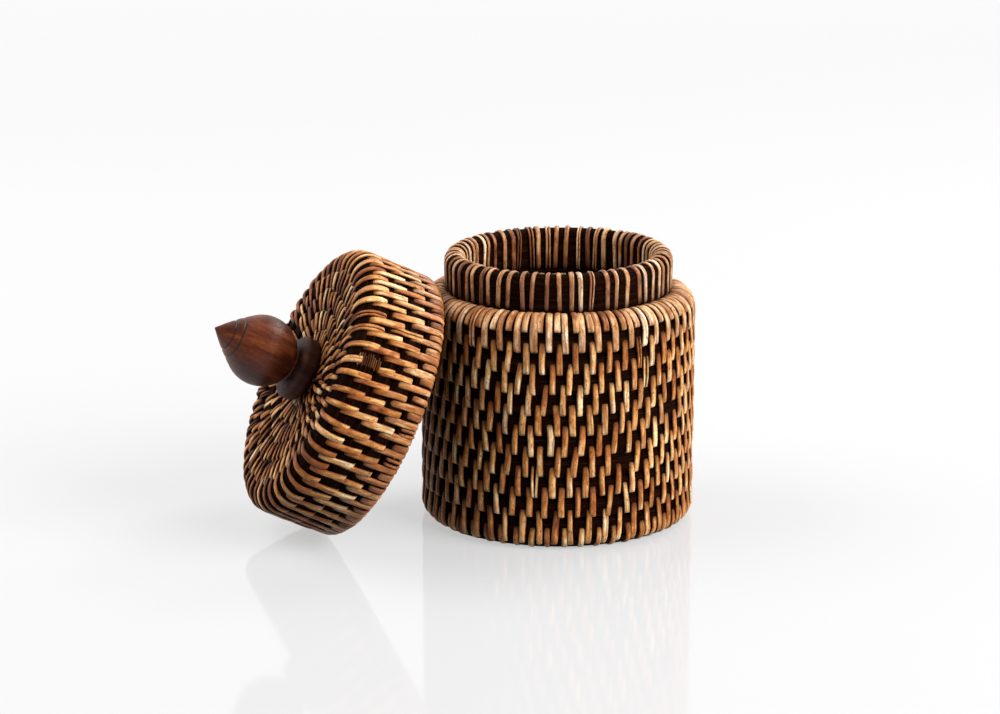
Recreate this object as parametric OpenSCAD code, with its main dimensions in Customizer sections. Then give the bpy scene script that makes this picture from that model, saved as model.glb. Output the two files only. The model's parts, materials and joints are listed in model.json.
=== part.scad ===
// Round coiled rattan basket with a wrapped neck and a loose cap lid with a turned wooden knob.
// The lid leans against the side of the basket. Its joints carry it up and over onto the neck.
// Millimetres. The origin is the centre of the underside, +Z is up, and the lid leans on the -X side.

/* [Basket] */
// Outer radius of the basket over its bindings
body_r = 60; // [58:0.5:62]
// Height of one coil turn
row_h = 9.05; // [8.9:0.05:9.2]
// Number of coil turns in the wall
wall_rows = 10; // [6:1:12]
// Thickness of the wall over its bindings
wall_t = 7; // [6.5:0.25:7.5]
// Rounding of the shoulder
shoulder_round = 8.5; // [7:0.5:9]
// Height from the table to the top of the shoulder
shoulder_z = 102.5; // [102:0.25:103]

/* [Neck] */
// Outer radius of the neck over its wraps
neck_r = 50.2; // [49.5:0.1:50.4]
// Thickness of the neck over its wraps
neck_t = 9.5; // [8.5:0.5:10]
// Height of the neck above the shoulder
neck_h = 16.1; // [14:0.5:17]
// Number of wraps around the neck
neck_wraps = 60; // [40:1:80]

/* [Cane] */
// Thickness of a binding strip
cane_t = 0.7; // [0.5:0.1:0.8]
// Width of a binding strip
cane_w = 2.6; // [2:0.1:3]
// Stitches in one turn of the wall
stitches = 52; // [30:2:60]
// How far each course is moved round from the one before it, as a part of their spacing
course_shift = 0.4; // [0.4:0.05:0.6]

/* [Lid] */
// Outer radius of the lid over its bindings
lid_r = 60.25; // [60:0.25:61]
// Depth of the lid from its rim to its crown
lid_h = 39.35; // [38:0.5:41]
// Thickness of the skirt over its bindings
skirt_t = 7; // [6:0.25:7]
// Rounding of the crown's edge
crown_round = 8.7; // [8:0.1:9.5]
// How far the middle of the crown is sunk
crown_dish = 3.5; // [2:0.5:4]
// Thickness of the crown's coil
crown_t = 5.6; // [5:0.1:6]

/* [Knob] */
// Radius of the ball
ball_r = 15.4; // [14:0.1:16]
// Height of the ball's centre above the middle of the collar
ball_z = 18.4; // [18:0.1:20]
// Height of the tip above the ball's centre
tip_z = 23; // [19:0.5:24]
// Radius of the collar under the ball
collar_r = 14.1; // [12:0.1:15]
// Thickness of the collar
collar_t = 8; // [6:0.5:8]
// Radius of the stem that passes through the crown
stem_r = 3.5; // [3:0.1:4]
// Radius of the cross peg that holds the stem
peg_r = 1.5; // [1:0.1:1.6]
// Length of the cross peg
peg_len = 18; // [14:1:24]
// How far the knob stands off the lid's centre
knob_shift = 1.5; // [0:0.1:2]
// How far the knob leans, in degrees
knob_lean = 4; // [0:0.5:4]

/* [Resting pose] */
// Distance of the lid's rim centre from the basket's axis
lid_out = 81; // [81:0.5:90]
// How far the leaning lid is tipped from level, in degrees
lid_tip = 64.3; // [63.5:0.1:65.5]

/* [Hidden] */
$fn = 96;

// Bare clearance between a strip and the coil under it, and between neighbouring coils
gap = 0.05;
// Neighbouring turns of one coil bite into each other by this much
lap = 0.6;
skin = cane_t + gap;
coil_r = body_r - skin;
coil_t = wall_t - 2 * skin;
turn_d = row_h + lap;
wall_mid_r = coil_r - coil_t / 2;
base_lip_z = row_h - turn_d / 2 - gap;
// The strips under the floor end this far above the table
table_gap = 0.02;
base_edge_round = 4.9;
base_top_z = 6.25;
base_turns = 5;
wall_top_z = row_h * wall_rows + turn_d / 2;
shoulder_low_z = wall_top_z + gap;
shoulder_top_z = shoulder_z - skin;
shoulder_arc_r = body_r - shoulder_round;
shoulder_arc_z = shoulder_z - shoulder_round;
shoulder_in_r = neck_r - neck_t + 2 * skin;
hoop_r = neck_r - skin;
hoop_t = neck_t - 2 * skin;
hoop_low_z = shoulder_top_z + gap;
hoop_top_z = shoulder_z + neck_h - skin;
neck_mid_r = neck_r - neck_t / 2;

skirt_r = lid_r - skin;
skirt_coil_t = skirt_t - 2 * skin;
rim_round = 2.5;
rim_low_z = skin;
rim_top_z = row_h + 0.3;
crown_flat_r = lid_r - crown_round;
crown_rows = 5;
crown_row_r = crown_flat_r - turn_d / 2;
edge_arc_z = lid_h - crown_round;
stem_hole_r = stem_r + 0.3;
crown_mid_z = lid_h - crown_dish;

// The sunk crown meets the collar at its edge, so its middle stands this far off
collar_lift = 0.9;
collar_mid_z = crown_mid_z + collar_t / 2 + collar_lift;
peg_z = crown_mid_z - skin - crown_t - peg_r - 1.2;
stem_low_z = peg_z - 4;
peg_play = 0.05;
// Slope of the knob's pointed end, from the line that touches the ball and ends in the tip
point_angle = asin(ball_r / tip_z);
// Cut lines of the knob, as parts of the height from the ball's centre to the tip
cut_places = [0.56, 0.69];
cut_r = 0.45;

// Share of the stitches left out of the crown's second ring, and what each ring adds to it
thinning = 0.1;
more_thinning = 0.015;

// Angle in degrees that a width w takes up on a circle of radius r
function arc_deg(w, r) = w / r * 180 / PI;

// Height of the crown's surface at radius r, level at the middle and at the edge
function crown_at(r) = lid_h - crown_dish * (1 + cos(180 * r / crown_flat_r)) / 2;

// Slope of the crown's surface at radius r, in degrees
function crown_slope(r) = atan(crown_dish * PI / 2 / crown_flat_r * sin(180 * r / crown_flat_r));

// Stitches in ring i of the crown, counted inwards from its edge
function crown_count(i) = round(stitches * (1 - i * (thinning + more_thinning * i)));

// Stitches in a ring of radius r under the floor, as close as those of the wall
function floor_count(r) = max(9, round(stitches * r / body_r));

// Height of the rim's centre when the rounded rim stands on the table
lid_up = (lid_r - rim_round) * sin(lid_tip) + rim_round * (1 - cos(lid_tip)) + gap;

// Section of one coil turn: a round bundle pressed flat to a thickness t
module turn_section(t) {
    intersection() {
        circle(d = turn_d);
        square([t, turn_d + 1], center = true);
    }
}

// Quarter of a disc of radius r, in the outer upper corner of its centre
module quarter(r) {
    intersection() {
        circle(r = r);
        square(r + 1);
    }
}

// Strip bent over a rounded edge: down the outside to z_low and inwards over the top to r_in
module edge_strip_section(arc_r, arc_z, round_r, z_low, r_in) {
    translate([arc_r, arc_z]) {
        difference() {
            quarter(round_r);
            circle(r = round_r - cane_t);
        }
    }
    translate([arc_r + round_r - cane_t, z_low]) square([cane_t, arc_z - z_low]);
    translate([r_in, arc_z + round_r - cane_t]) square([arc_r - r_in, cane_t]);
}

// Strip laid flat against a cylinder of radius r, from z_low up by h
module wall_strip(r, z_low, h) {
    rotate([0, 0, -arc_deg(cane_w, r) / 2])
        rotate_extrude(angle = arc_deg(cane_w, r))
            translate([r - cane_t, z_low]) square([cane_t, h]);
}

// Places what belongs to the lid in its resting pose
module leaning_lid() {
    translate([-lid_out, 0, lid_up]) rotate([0, -lid_tip, 0]) children();
}

// Places what belongs to the knob on the crown
module on_knob_axis() {
    leaning_lid() translate([knob_shift, 0, peg_z]) rotate([0, knob_lean, 0]) children();
}

// Flat spiral of the floor. Its outermost turn is pressed thin under the wall and stands on the table
module base_coil() {
    foot_in_r = row_h * (base_turns + 0.5);
    floor_t = base_top_z - skin;
    color([0.13, 0.09, 0.07]) {
        translate([0, 0, skin]) cylinder(r = row_h * 0.55, h = floor_t);
        rotate_extrude() {
            for (i = [1 : base_turns]) {
                translate([row_h * i, skin + floor_t / 2]) rotate(90) turn_section(floor_t);
            }
            translate([coil_r - base_edge_round, base_edge_round]) {
                intersection() {
                    circle(r = base_edge_round);
                    translate([0, -base_edge_round]) square([base_edge_round, base_lip_z]);
                }
            }
            translate([foot_in_r, 0]) square([coil_r - base_edge_round - foot_in_r, base_lip_z]);
        }
    }
}

// Radial strips under the floor, inside the turn on which the basket stands
module base_binding() {
    strip_len = row_h * 0.85;
    color([0.72, 0.48, 0.27]) {
        for (i = [1 : base_turns]) {
            count = floor_count(row_h * i);
            for (k = [0 : count - 1]) {
                rotate([0, 0, (k + i / 2) * 360 / count])
                    translate([row_h * i - strip_len / 2, -cane_w / 2, table_gap])
                        cube([strip_len, cane_w, cane_t - table_gap]);
            }
        }
    }
}

// Ten coil turns stacked into the straight wall
module wall_coil() {
    color([0.13, 0.09, 0.07]) {
        rotate_extrude() {
            for (i = [1 : wall_rows]) {
                translate([wall_mid_r, row_h * i]) turn_section(coil_t);
            }
        }
    }
}

// Staggered stitches on the outside of the wall, each one and a half turns long
module wall_binding() {
    color([0.72, 0.48, 0.27]) {
        for (i = [1 : wall_rows - 1]) {
            for (k = [0 : stitches - 1]) {
                rotate([0, 0, (k + i * course_shift) * 360 / stitches])
                    wall_strip(body_r, row_h * (i - 0.45), row_h * 1.4);
            }
        }
    }
}

// Two turns that close the wall in to the neck
module shoulder_coil() {
    color([0.15, 0.1, 0.07]) {
        rotate_extrude() {
            intersection() {
                union() {
                    translate([shoulder_arc_r, shoulder_arc_z]) quarter(shoulder_round - skin);
                    translate([shoulder_in_r, shoulder_low_z])
                        square([shoulder_arc_r - shoulder_in_r, shoulder_top_z - shoulder_low_z]);
                }
                translate([0, shoulder_low_z]) square([body_r, row_h * 2]);
            }
        }
    }
}

// Strips that bend over the shoulder, by turns two courses and one course long
module shoulder_binding() {
    color([0.78, 0.56, 0.35]) {
        for (k = [0 : stitches * 2 - 1]) {
            place = (k / 2 + wall_rows * course_shift) * 360 / stitches;
            rotate([0, 0, place - arc_deg(cane_w, body_r) / 2])
                rotate_extrude(angle = arc_deg(cane_w, body_r))
                    edge_strip_section(
                        shoulder_arc_r, shoulder_arc_z, shoulder_round,
                        row_h * (wall_rows - 0.45 + k % 2), neck_r + 0.3
                    );
        }
    }
}

// Thick hoop of the neck, rounded at the top
module neck_hoop() {
    color([0.11, 0.08, 0.06]) {
        rotate_extrude() {
            translate([hoop_r - hoop_t / 2, hoop_top_z - hoop_t / 2]) circle(d = hoop_t);
            translate([hoop_r - hoop_t, hoop_low_z])
                square([hoop_t, hoop_top_z - hoop_t / 2 - hoop_low_z]);
        }
    }
}

// Wraps that hold the hoop, up the outside, over the top and down the inside
module neck_binding() {
    wrap_deg = arc_deg(cane_w * 0.9, neck_r);
    leg_low_z = hoop_low_z + 0.8;
    arc_z = hoop_top_z - hoop_t / 2;
    color([0.74, 0.52, 0.32]) {
        for (k = [0 : neck_wraps - 1]) {
            rotate([0, 0, k * 360 / neck_wraps]) {
                rotate_extrude(angle = wrap_deg) {
                    intersection() {
                        translate([neck_mid_r, arc_z]) {
                            difference() {
                                circle(d = neck_t);
                                circle(d = neck_t - 2 * cane_t);
                            }
                        }
                        translate([0, arc_z]) square([body_r, neck_t]);
                    }
                    for (r = [neck_r - cane_t, neck_r - neck_t]) {
                        translate([r, leg_low_z]) square([cane_t, arc_z - leg_low_z]);
                    }
                }
            }
        }
    }
}

// Hoop that stiffens the lid's rim
module lid_rim_hoop() {
    mid_r = skirt_r - skirt_coil_t / 2;
    color([0.13, 0.09, 0.07]) {
        leaning_lid() {
            rotate_extrude() {
                translate([mid_r, rim_low_z + skirt_coil_t / 2]) circle(d = skirt_coil_t);
                translate([skirt_r - skirt_coil_t, rim_low_z + skirt_coil_t / 2])
                    square([skirt_coil_t, rim_top_z - rim_low_z - skirt_coil_t / 2]);
            }
        }
    }
}

// Close wraps around the rim, up the outside and the inside of the hoop
module lid_rim_binding() {
    wrap_deg = arc_deg(cane_w, lid_r);
    color([0.68, 0.4, 0.2]) {
        leaning_lid() {
            for (k = [0 : stitches * 2 - 1]) {
                rotate([0, 0, k * 180 / stitches]) {
                    rotate_extrude(angle = wrap_deg) {
                        intersection() {
                            translate([lid_r - skirt_t / 2, skirt_t / 2]) {
                                difference() {
                                    circle(d = skirt_t);
                                    circle(d = skirt_t - 2 * cane_t);
                                }
                            }
                            square([lid_r + 1, skirt_t / 2]);
                        }
                        for (r = [lid_r - cane_t, lid_r - skirt_t]) {
                            translate([r, skirt_t / 2]) square([cane_t, row_h - skirt_t / 2]);
                        }
                    }
                }
            }
        }
    }
}

// Two turns of the skirt and the rounded turn at the crown's edge
module lid_skirt_coil() {
    low_z = rim_top_z + gap;
    color([0.15, 0.1, 0.07]) {
        leaning_lid() {
            rotate_extrude() {
                intersection() {
                    for (i = [1 : 3]) {
                        translate([skirt_r - skirt_coil_t / 2, rim_top_z + row_h * (i - 0.5)])
                            turn_section(skirt_coil_t);
                    }
                    translate([0, low_z]) square([lid_r, edge_arc_z - low_z]);
                }
                translate([crown_flat_r, edge_arc_z]) quarter(crown_round - skin);
            }
        }
    }
}

// Two courses of stitches on the skirt, and strips that bend over the crown's edge
module lid_skirt_binding() {
    color([0.75, 0.5, 0.28]) {
        leaning_lid() {
            for (k = [0 : stitches - 1]) {
                rotate([0, 0, (k - course_shift) * 360 / stitches])
                    wall_strip(lid_r, row_h + gap, row_h * 1.3);
                rotate([0, 0, (k - course_shift * 2) * 360 / stitches])
                    wall_strip(lid_r, row_h * 1.7, row_h * 1.3);
            }
            for (k = [0 : stitches - 1]) {
                rotate([0, 0, (k - course_shift * 3) * 360 / stitches - arc_deg(cane_w, lid_r) / 2])
                    rotate_extrude(angle = arc_deg(cane_w, lid_r))
                        edge_strip_section(
                            crown_flat_r, edge_arc_z, crown_round, row_h * 2.5, crown_flat_r - gap
                        );
            }
        }
    }
}

// Flat spiral of the crown, sunk towards the hole for the knob's stem
module lid_crown_coil() {
    mid_t = skin + crown_t / 2;
    color([0.15, 0.1, 0.07]) {
        difference() {
            leaning_lid() {
                rotate_extrude() {
                    for (i = [0 : crown_rows - 1]) {
                        r = crown_row_r - row_h * i;
                        translate([r - gap, crown_at(r) - mid_t])
                            rotate(90 + crown_slope(r)) turn_section(crown_t);
                    }
                    translate([0, crown_mid_z - skin - crown_t]) square([row_h * 0.8, crown_t]);
                }
            }
            on_knob_axis() cylinder(r = stem_hole_r, h = lid_h);
        }
    }
}

// Radial stitches on the crown, fewer in each smaller ring
module lid_crown_binding() {
    color([0.75, 0.5, 0.28]) {
        leaning_lid() {
            for (i = [0 : crown_rows - 2]) {
                r = crown_row_r - row_h * i;
                for (k = [0 : crown_count(i) - 1]) {
                    rotate([0, 0, (k + i / 2) * 360 / crown_count(i)])
                        translate([r, 0, crown_at(r) - cane_t / 2])
                            rotate([0, -crown_slope(r), 0])
                                cube([row_h * 0.9, cane_w * 0.9, cane_t], center = true);
                }
            }
        }
    }
}

// Profile of the knob from its stem to its pointed tip
module knob_profile() {
    mid = collar_mid_z - peg_z;
    seat = mid + collar_t / 2 + gap;
    centre = mid + ball_z;
    cone_r = ball_r * cos(point_angle);
    cone_z = centre + ball_r * sin(point_angle);
    translate([0, stem_low_z - peg_z]) square([stem_r, seat - stem_low_z + peg_z]);
    translate([0, seat]) square([ball_r * 0.5, centre - ball_r * 0.8 - seat]);
    intersection() {
        translate([0, centre]) circle(r = ball_r);
        translate([0, seat]) square([ball_r + 1, ball_r * 3]);
    }
    polygon([[0, centre], [cone_r, cone_z], [0.6, centre + tip_z - 0.8], [0, centre + tip_z]]);
}

// Turned knob: stem, neck, ball and tip, with two cut lines near the tip and a cross bore for the peg
module knob() {
    centre = collar_mid_z - peg_z + ball_z;
    color([0.36, 0.17, 0.1]) {
        on_knob_axis() {
            difference() {
                rotate_extrude() {
                    difference() {
                        knob_profile();
                        for (s = cut_places) {
                            translate([(1 - s) * tip_z * tan(point_angle), centre + tip_z * s])
                                circle(r = cut_r, $fn = 24);
                        }
                    }
                }
                rotate([90, 0, 0]) cylinder(r = peg_r + peg_play, h = 4 * stem_r, center = true);
            }
        }
    }
}

// Wooden collar between the knob and the crown
module knob_collar() {
    edge = collar_t * 0.4;
    color([0.28, 0.17, 0.13]) {
        on_knob_axis() {
            translate([0, 0, collar_mid_z - peg_z]) {
                rotate_extrude() {
                    for (z = [-1, 1]) {
                        translate([collar_r - edge, z * (collar_t / 2 - edge)]) circle(r = edge);
                    }
                    translate([collar_r - edge, edge - collar_t / 2])
                        square([edge, collar_t - 2 * edge]);
                    translate([stem_r + gap, -collar_t / 2])
                        square([collar_r - edge - stem_r - gap, collar_t]);
                }
            }
        }
    }
}

// Round peg through the stem, under the crown
module knob_peg() {
    color([0.62, 0.45, 0.28]) {
        on_knob_axis() rotate([90, 0, 0]) cylinder(r = peg_r, h = peg_len, center = true);
    }
}

base_coil();
base_binding();
wall_coil();
wall_binding();
shoulder_coil();
shoulder_binding();
neck_hoop();
neck_binding();
lid_rim_hoop();
lid_rim_binding();
lid_skirt_coil();
lid_skirt_binding();
lid_crown_coil();
lid_crown_binding();
knob();
knob_collar();
knob_peg();
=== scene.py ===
"""Round coiled rattan basket with a wrapped neck and a loose cap lid with a turned wooden knob.

Everything woven is made strip by strip: dark bundles of fibre are the coil turns, and each stitch of split
cane is its own crowned strip that follows the basket's or the lid's outline. Lengths are in millimetres until
a mesh is made, and meshes are in metres in the frame's axes.
"""
import json
import math
import random

import bpy
import numpy as np
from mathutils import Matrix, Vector


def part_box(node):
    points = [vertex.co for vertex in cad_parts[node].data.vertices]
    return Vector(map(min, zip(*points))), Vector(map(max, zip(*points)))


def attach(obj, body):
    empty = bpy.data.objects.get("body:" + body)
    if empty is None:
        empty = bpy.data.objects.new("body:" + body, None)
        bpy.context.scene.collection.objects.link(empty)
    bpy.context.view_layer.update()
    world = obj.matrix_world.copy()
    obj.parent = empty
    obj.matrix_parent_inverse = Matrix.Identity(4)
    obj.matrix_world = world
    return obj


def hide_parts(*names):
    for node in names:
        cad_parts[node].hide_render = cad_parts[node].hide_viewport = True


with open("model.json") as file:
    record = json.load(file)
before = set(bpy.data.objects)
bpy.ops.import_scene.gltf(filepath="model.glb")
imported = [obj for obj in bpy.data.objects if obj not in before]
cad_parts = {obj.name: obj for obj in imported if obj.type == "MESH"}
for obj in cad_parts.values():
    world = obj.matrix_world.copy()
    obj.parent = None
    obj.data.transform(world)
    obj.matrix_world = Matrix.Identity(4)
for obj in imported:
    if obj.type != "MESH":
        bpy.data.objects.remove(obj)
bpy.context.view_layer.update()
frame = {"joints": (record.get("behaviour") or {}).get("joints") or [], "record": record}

MM = 0.001

# ---------------------------------------------------------------- sizes

BODY_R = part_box("wall_binding")[1].x / MM
SHOULDER_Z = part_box("shoulder_binding")[1].z / MM
NECK_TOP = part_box("neck_binding")[1].z / MM
# Height of one course, and thickness of the wall
ROW_H = 9.05
WALL_T = 7.0
WALL_ROWS = 10
BASE_TURNS = 5
FLOOR_TOP = 7.0
BASE_ROUND = 5.6
# Height over the table of the underside's outline at its edge
UNDER_Z = 0.45
# Radius at which a course of the floor has as many stitches as one of the wall
FULL_COURSE_R = 46
SHOULDER_ROUND = 8.5
NECK_R = 50.2
NECK_T = 9.5
# How much higher the neck stands at its high side, and where that side is
NECK_RISE = 1.2
NECK_HIGH_SIDE = math.radians(30)
# Stitches in one course round the wall or the lid, and wraps round the neck
STITCHES = 52
NECK_WRAPS = 60

LID_R = 60.25
LID_H = 39.35
SKIRT_T = 7.0
CROWN_ROUND = 8.7
CROWN_DISH = 3.5
CROWN_T = 7.1
CROWN_ROWS = 5
# Radius at which the strips that bend over the crown's edge end
CROWN_STRIP_END = 45.0
STEM_R = 3.5

# Width and thickness of a strip of split cane, and how deep the coils lie under the outer surface
CANE_W = 2.6
CANE_T = 0.95
SKIN = 0.75
COIL_T = WALL_T - 2 * SKIN

# The knob sits a little off the lid's middle and leans, and turns on a peg PEG_Z above the lid's rim
KNOB_SHIFT = 1.5
KNOB_LEAN = math.radians(4)
PEG_Z = 26.8
PEG_R = 1.5
PEG_LEN = 18.0
BALL_R = 15.4
# Height of the ball's middle above the collar's middle
BALL_Z = 18.4
# Height of the knob's tip above the middle of its ball, and the parts of it at which the two lines are cut
TIP_Z = 23.0
CUT_LINES = (0.56, 0.69)
CUT_DEPTH = 0.55
# Width of a line as a part of the cone's length, and reach of its darkness in millimetres
CUT_WIDTH = 0.035
CUT_REACH = 0.32
COLLAR_R = 14.1
COLLAR_T = 8.0
COLLAR_Z = LID_H - CROWN_DISH + 0.9 + COLLAR_T / 2

# The two coupled hinges turn the lid from its lean to level, so they give how far it is tipped.
carry, level = frame["joints"]
CARRY_TURN = math.radians(carry["range_deg"][1])
LID_TIP = CARRY_TURN * (1 + frame["record"]["behaviour"]["couplings"][0]["ratio"])
PEG_PLACE = [v / MM for v in level["pos_m"]]


def lid_to_row(points):
    """Points of the lid's own frame, with its rim at z = 0, in the row frame."""
    p = np.asarray(points, float) - (KNOB_SHIFT, 0, PEG_Z)
    c, s = math.cos(-LID_TIP), math.sin(-LID_TIP)
    return np.stack([p[:, 0] * c + p[:, 2] * s, p[:, 1], p[:, 2] * c - p[:, 0] * s], 1) + PEG_PLACE


def knob_to_row(points):
    """Points of the knob's own frame, with its peg at z = 0, in the row frame."""
    p = np.asarray(points, float)
    c, s = math.cos(KNOB_LEAN), math.sin(KNOB_LEAN)
    leaned = np.stack([p[:, 0] * c + p[:, 2] * s, p[:, 1], p[:, 2] * c - p[:, 0] * s], 1)
    return lid_to_row(leaned + (KNOB_SHIFT, 0, PEG_Z))


def as_is(points):
    """Points that are in the row frame already."""
    return np.asarray(points, float)


def neck_tilted(points):
    """The neck stands a little higher at the back right than at the front left."""
    p = np.array(points, float)
    share = np.clip((p[:, 2] - SHOULDER_Z) / (NECK_TOP - SHOULDER_Z), 0, 1)
    round_axis = np.arctan2(p[:, 1], p[:, 0])
    p[:, 2] += share * NECK_RISE / 2 * (1 + np.cos(round_axis - NECK_HIGH_SIDE))
    return p


# ---------------------------------------------------------------- outlines


class Outline:
    """A line in the half plane (radius, height), walked by its length. Its outer side is on the right."""

    STEP = 0.25

    def __init__(self, *parts):
        raw = np.concatenate([np.array(part, float) for part in parts])
        keep = np.r_[True, np.hypot(*np.diff(raw, axis=0).T) > 1e-6]
        raw = raw[keep]
        far = np.r_[0, np.cumsum(np.hypot(*np.diff(raw, axis=0).T))]
        self.length = far[-1]
        self.s = np.arange(0, self.length, self.STEP)
        self.r = np.interp(self.s, far, raw[:, 0])
        self.z = np.interp(self.s, far, raw[:, 1])
        tr, tz = np.gradient(self.r), np.gradient(self.z)
        size = np.hypot(tr, tz)
        self.nr, self.nz = tz / size, -tr / size

    def at(self, s):
        """Radius, height and outward direction at a length along the outline."""
        return [np.interp(s, self.s, a) for a in (self.r, self.z, self.nr, self.nz)]

    def near(self, r, z):
        """Length along the outline to its point nearest (r, z)."""
        return float(self.s[np.argmin((self.r - r) ** 2 + (self.z - z) ** 2)])


def line(*points):
    return list(points)


def arc(r, z, radius, start, stop, count=24):
    """Points of an arc about (r, z), from one angle in degrees to another."""
    turn = np.radians(np.linspace(start, stop, count))
    return list(zip(r + radius * np.cos(turn), z + radius * np.sin(turn)))


neck_mid = NECK_R - NECK_T / 2
basket_outside = Outline(
    line((0.5, 0.75), (BODY_R - BASE_ROUND, UNDER_Z)),
    arc(BODY_R - BASE_ROUND, BASE_ROUND + UNDER_Z, BASE_ROUND, -90, 0),
    arc(BODY_R - SHOULDER_ROUND, SHOULDER_Z - SHOULDER_ROUND, SHOULDER_ROUND, 0, 90),
    line((NECK_R - 2.5, SHOULDER_Z)),
)
neck_outline = Outline(
    line((NECK_R - 0.2, SHOULDER_Z - 1)),
    arc(neck_mid, NECK_TOP - NECK_T / 2, NECK_T / 2, 0, 180),
    line((NECK_R - NECK_T, SHOULDER_Z - 3)),
)
basket_inside = Outline(
    line((NECK_R - NECK_T - 0.5, SHOULDER_Z - 3)),
    arc(NECK_R - NECK_T + 2, SHOULDER_Z - 6, 2.5, 180, 270),
    line((BODY_R - WALL_T - 3, SHOULDER_Z - 8.5)),
    arc(BODY_R - WALL_T - 3, SHOULDER_Z - 11.5, 3, 90, 0),
    arc(BODY_R - WALL_T - 3, FLOOR_TOP + 3, 3, 0, -90),
    line((0.5, FLOOR_TOP)),
)
crown_flat = LID_R - CROWN_ROUND


def crown_top(r):
    """Height of the crown's surface, which is sunk in the middle."""
    return LID_H - CROWN_DISH * (0.5 + 0.5 * math.cos(math.pi * r / crown_flat))


lid_outside = Outline(
    line((LID_R - SKIRT_T, ROW_H)),
    arc(LID_R - SKIRT_T / 2, SKIRT_T / 2, SKIRT_T / 2, 180, 360),
    arc(crown_flat, LID_H - CROWN_ROUND, CROWN_ROUND, 0, 86),
    [(r, crown_top(r)) for r in np.linspace(crown_flat - 1, 3, 40)],
)
lid_inside = Outline(
    line((STEM_R + 0.5, LID_H - CROWN_DISH - CROWN_T), (crown_flat - 3, LID_H - CROWN_T - 0.3)),
    arc(LID_R - SKIRT_T - 5, LID_H - CROWN_T - 5.3, 5, 90, 0),
    line((LID_R - SKIRT_T, ROW_H - 1)),
)

# ---------------------------------------------------------------- mesh making


class Weave:
    """Gathers vertices, faces and what each vertex tells its material, for one mesh."""

    def __init__(self):
        self.points, self.faces, self.grain, self.look, self.count = [], [], [], [], 0

    def grid(self, points, grain, look, close_u=False, close_v=False, caps=False):
        """A grid of points (rows, columns, 3).

        close_u joins the last row to the first, close_v does so with columns, and caps closes both ends.
        """
        rows, columns = points.shape[:2]
        index = np.arange(rows * columns).reshape(rows, columns) + self.count
        if close_v:
            index = np.concatenate([index, index[:, :1]], 1)
        if close_u:
            index = np.concatenate([index, index[:1]], 0)
        quads = np.stack([index[:-1, :-1], index[:-1, 1:], index[1:, 1:], index[1:, :-1]], -1)
        self.faces += quads.reshape(-1, 4).tolist()
        if caps:
            self.faces.append(index[0, :columns][::-1].tolist())
            self.faces.append(index[rows - 1, :columns].tolist())
        self.points.append(points.reshape(-1, 3))
        self.grain.append(np.broadcast_to(grain, points.shape).reshape(-1, 3))
        self.look.append(np.broadcast_to(look, (rows, columns, 4)).reshape(-1, 4))
        self.count += rows * columns

    def piece(self, name, material, body, nodes=(), place=as_is, flip=False):
        """Makes the mesh, in the row frame, parents it under its body's empty and hides the parts named in
        nodes. flip turns its faces over.
        """
        mesh = bpy.data.meshes.new(name)
        points = place(np.concatenate(self.points)) * MM
        faces = [f[::-1] for f in self.faces] if flip else self.faces
        mesh.from_pydata(points.tolist(), [], faces)
        for key, kind, values in (
            ("grain", "FLOAT_VECTOR", np.concatenate(self.grain)),
            ("look", "FLOAT_COLOR", np.concatenate(self.look)),
        ):
            layer = mesh.attributes.new(key, kind, "POINT")
            field = "vector" if kind == "FLOAT_VECTOR" else "color"
            layer.data.foreach_set(field, values.astype(np.float32).ravel())
        mesh.shade_smooth()
        mesh.materials.append(material)
        mesh.update()
        obj = bpy.data.objects.new(name, mesh)
        bpy.context.scene.collection.objects.link(obj)
        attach(obj, body)
        if nodes:
            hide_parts(*nodes)
        return obj


# Section of a strip of split cane: flat below and gently crowned above, as (across, up) with half width 1
STRIP = np.array(
    [
        (-1, 0.1), (-0.94, 0.55), (-0.68, 0.88), (-0.25, 1), (0.25, 1),
        (0.68, 0.88), (0.94, 0.55), (1, 0.1), (0.6, -0.12), (-0.6, -0.12),
    ]
)
STRIP_LOW = np.array([(-1, 0.1), (-0.7, 0.85), (0, 1), (0.7, 0.85), (1, 0.1), (0, -0.1)])


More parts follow.
